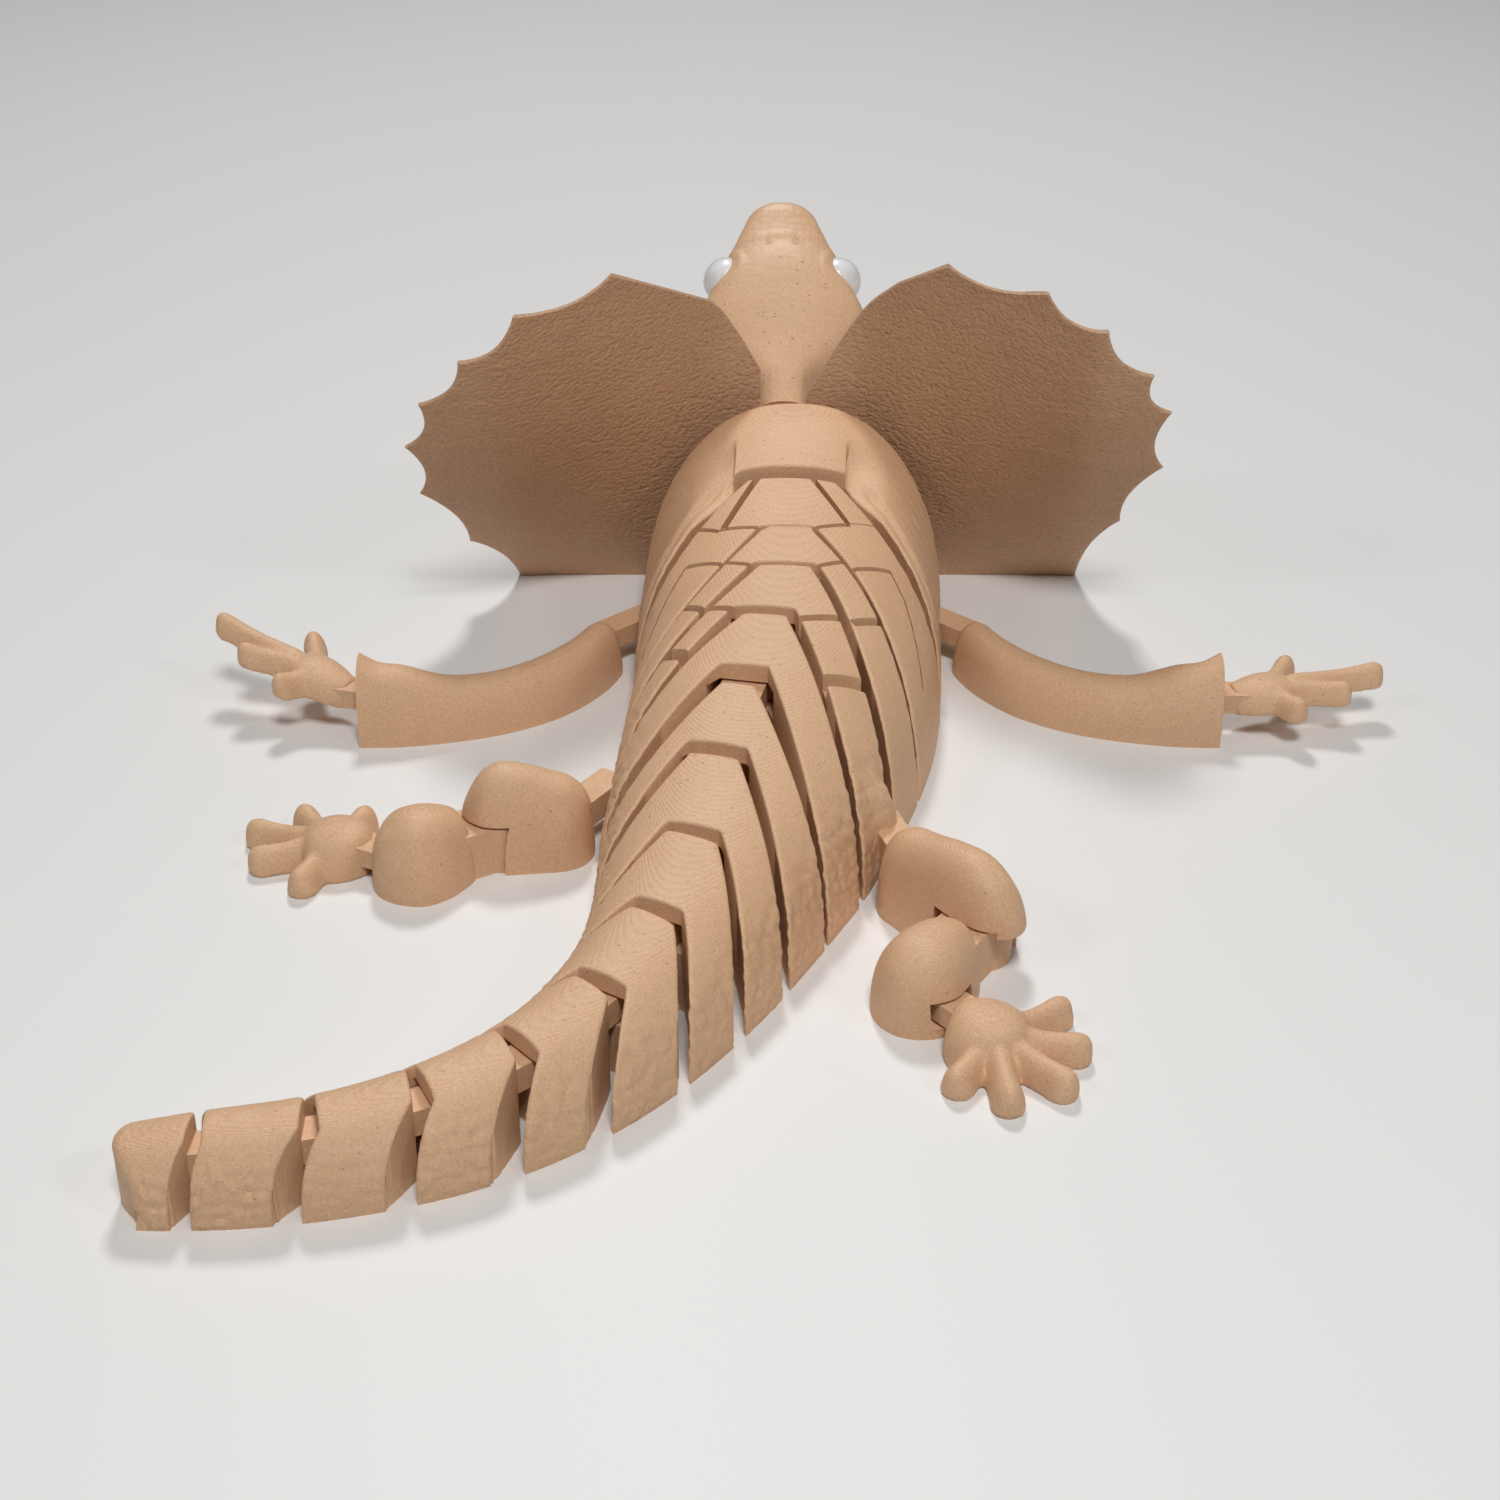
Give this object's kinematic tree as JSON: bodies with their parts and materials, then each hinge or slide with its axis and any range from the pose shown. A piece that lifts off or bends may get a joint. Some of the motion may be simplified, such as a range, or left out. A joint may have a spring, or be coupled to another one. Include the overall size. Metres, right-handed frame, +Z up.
{
  "type": "articulated toy lizard",
  "caption": "Small hinged plastic toy of a frilled lizard lying on its belly: a raised head with an open scalloped frill, chevron-shaped body and tail links, splayed legs.",
  "frame": {"origin": "middle of the bounding box, at floor level", "axes": "+Z up; +Y from the tail towards the head, the longest way; +X to the right of the head"},
  "size_m": [0.2068, 0.2428, 0.0693],
  "materials": {
    "tan_plastic": "satin, with fine printed layer lines",
    "white_plastic": "glossy"
  },
  "bodies": {
    "chest": {"chest": "tan_plastic"},
    "head": {"head": "tan_plastic", "eye_left": "white_plastic", "eye_right": "white_plastic", "frill_left": "tan_plastic", "frill_right": "tan_plastic"},
    "link_01": {"link_01": "tan_plastic"},
    "link_02": {"link_02": "tan_plastic"},
    "link_03": {"link_03": "tan_plastic"},
    "link_04": {"link_04": "tan_plastic"},
    "link_05": {"link_05": "tan_plastic"},
    "link_06": {"link_06": "tan_plastic"},
    "link_07": {"link_07": "tan_plastic"},
    "link_08": {"link_08": "tan_plastic"},
    "link_09": {"link_09": "tan_plastic"},
    "link_10": {"link_10": "tan_plastic"},
    "link_11": {"link_11": "tan_plastic"},
    "link_12": {"link_12": "tan_plastic"},
    "link_13": {"link_13": "tan_plastic"},
    "arm_left": {"arm_left": "tan_plastic"},
    "hand_left": {"hand_left": "tan_plastic"},
    "thigh_left": {"thigh_left": "tan_plastic"},
    "shin_left": {"shin_left": "tan_plastic"},
    "foot_left": {"foot_left": "tan_plastic"},
    "arm_right": {"arm_right": "tan_plastic"},
    "hand_right": {"hand_right": "tan_plastic"},
    "thigh_right": {"thigh_right": "tan_plastic"},
    "shin_right": {"shin_right": "tan_plastic"},
    "foot_right": {"foot_right": "tan_plastic"}
  },
  "joints": [
    {"name": "neck", "type": "hinge", "parent": "chest", "child": "head", "pos_m": [-0.00184, 0.06039, 0], "axis": [0, 0, 1], "range_deg": [-6, 6]},
    {"name": "spine_01", "type": "hinge", "parent": "chest", "child": "link_01", "pos_m": [-0.00031, 0.05029, 0], "axis": [0, 0, 1], "range_deg": [-1.5, 3]},
    {"name": "spine_02", "type": "hinge", "parent": "link_01", "child": "link_02", "pos_m": [-0.00156, 0.03192, 0], "axis": [0, 0, 1], "range_deg": [-0.8, 0.8]},
    {"name": "spine_03", "type": "hinge", "parent": "link_02", "child": "link_03", "pos_m": [-0.00198, 0.01893, 0], "axis": [0, 0, 1], "range_deg": [-1.5, 1.5]},
    {"name": "spine_04", "type": "hinge", "parent": "link_03", "child": "link_04", "pos_m": [-0.00502, 0.00587, 0], "axis": [0, 0, 1], "range_deg": [-0.8, 0.8]},
    {"name": "spine_05", "type": "hinge", "parent": "link_04", "child": "link_05", "pos_m": [-0.00803, -0.01173, 0], "axis": [0, 0, 1], "range_deg": [-3, 0.8]},
    {"name": "spine_06", "type": "hinge", "parent": "link_05", "child": "link_06", "pos_m": [-0.01216, -0.03076, 0], "axis": [0, 0, 1], "range_deg": [-3, 1.5]},
    {"name": "spine_07", "type": "hinge", "parent": "link_06", "child": "link_07", "pos_m": [-0.01534, -0.04909, 0], "axis": [0, 0, 1], "range_deg": [-1.5, 2]},
    {"name": "spine_08", "type": "hinge", "parent": "link_07", "child": "link_08", "pos_m": [-0.01986, -0.06777, 0], "axis": [0, 0, 1], "range_deg": [-2, 3]},
    {"name": "spine_09", "type": "hinge", "parent": "link_08", "child": "link_09", "pos_m": [-0.02626, -0.08365, 0], "axis": [0, 0, 1], "range_deg": [-2, 6]},
    {"name": "spine_10", "type": "hinge", "parent": "link_09", "child": "link_10", "pos_m": [-0.03573, -0.09613, 0], "axis": [0, 0, 1], "range_deg": [-2, 9]},
    {"name": "spine_11", "type": "hinge", "parent": "link_10", "child": "link_11", "pos_m": [-0.04713, -0.10503, 0], "axis": [0, 0, 1], "range_deg": [-3, 10]},
    {"name": "spine_12", "type": "hinge", "parent": "link_11", "child": "link_12", "pos_m": [-0.0602, -0.11074, 0], "axis": [0, 0, 1], "range_deg": [-4, 10]},
    {"name": "spine_13", "type": "hinge", "parent": "link_12", "child": "link_13", "pos_m": [-0.07436, -0.11377, 0], "axis": [0, 0, 1], "range_deg": [-6, 12]},
    {"name": "shoulder_left", "type": "hinge", "parent": "chest", "child": "arm_left", "pos_m": [-0.02234, 0.04639, 0], "axis": [0, 0, 1], "range_deg": [-12, 4]},
    {"name": "wrist_left", "type": "hinge", "parent": "arm_left", "child": "hand_left", "pos_m": [-0.07134, 0.00899, 0], "axis": [0, 0, 1], "range_deg": [0, 12]},
    {"name": "hip_left", "type": "hinge", "parent": "link_03", "child": "thigh_left", "pos_m": [-0.03784, -0.03041, 0], "axis": [0, 0, 1], "range_deg": [-10, 12]},
    {"name": "knee_left", "type": "hinge", "parent": "thigh_left", "child": "shin_left", "pos_m": [-0.04824, -0.03161, 0], "axis": [0, 0, 1], "range_deg": [-12, 15]},
    {"name": "ankle_left", "type": "hinge", "parent": "shin_left", "child": "foot_left", "pos_m": [-0.06104, -0.03941, 0], "axis": [0, 0, 1], "range_deg": [-8, 10]},
    {"name": "shoulder_right", "type": "hinge", "parent": "chest", "child": "arm_right", "pos_m": [0.01966, 0.04639, 0], "axis": [0, 0, 1], "range_deg": [-4, 10]},
    {"name": "wrist_right", "type": "hinge", "parent": "arm_right", "child": "hand_right", "pos_m": [0.06866, 0.00899, 0], "axis": [0, 0, 1], "range_deg": [-10, 10]},
    {"name": "hip_right", "type": "hinge", "parent": "link_03", "child": "thigh_right", "pos_m": [0.01756, -0.04721, 0], "axis": [0, 0, 1], "range_deg": [-8, 8]},
    {"name": "knee_right", "type": "hinge", "parent": "thigh_right", "child": "shin_right", "pos_m": [0.02606, -0.05881, 0], "axis": [0, 0, 1], "range_deg": [-10, 8]},
    {"name": "ankle_right", "type": "hinge", "parent": "shin_right", "child": "foot_right", "pos_m": [0.01676, -0.07321, 0], "axis": [0, 0, 1], "range_deg": [-8, 8]}
  ]
}
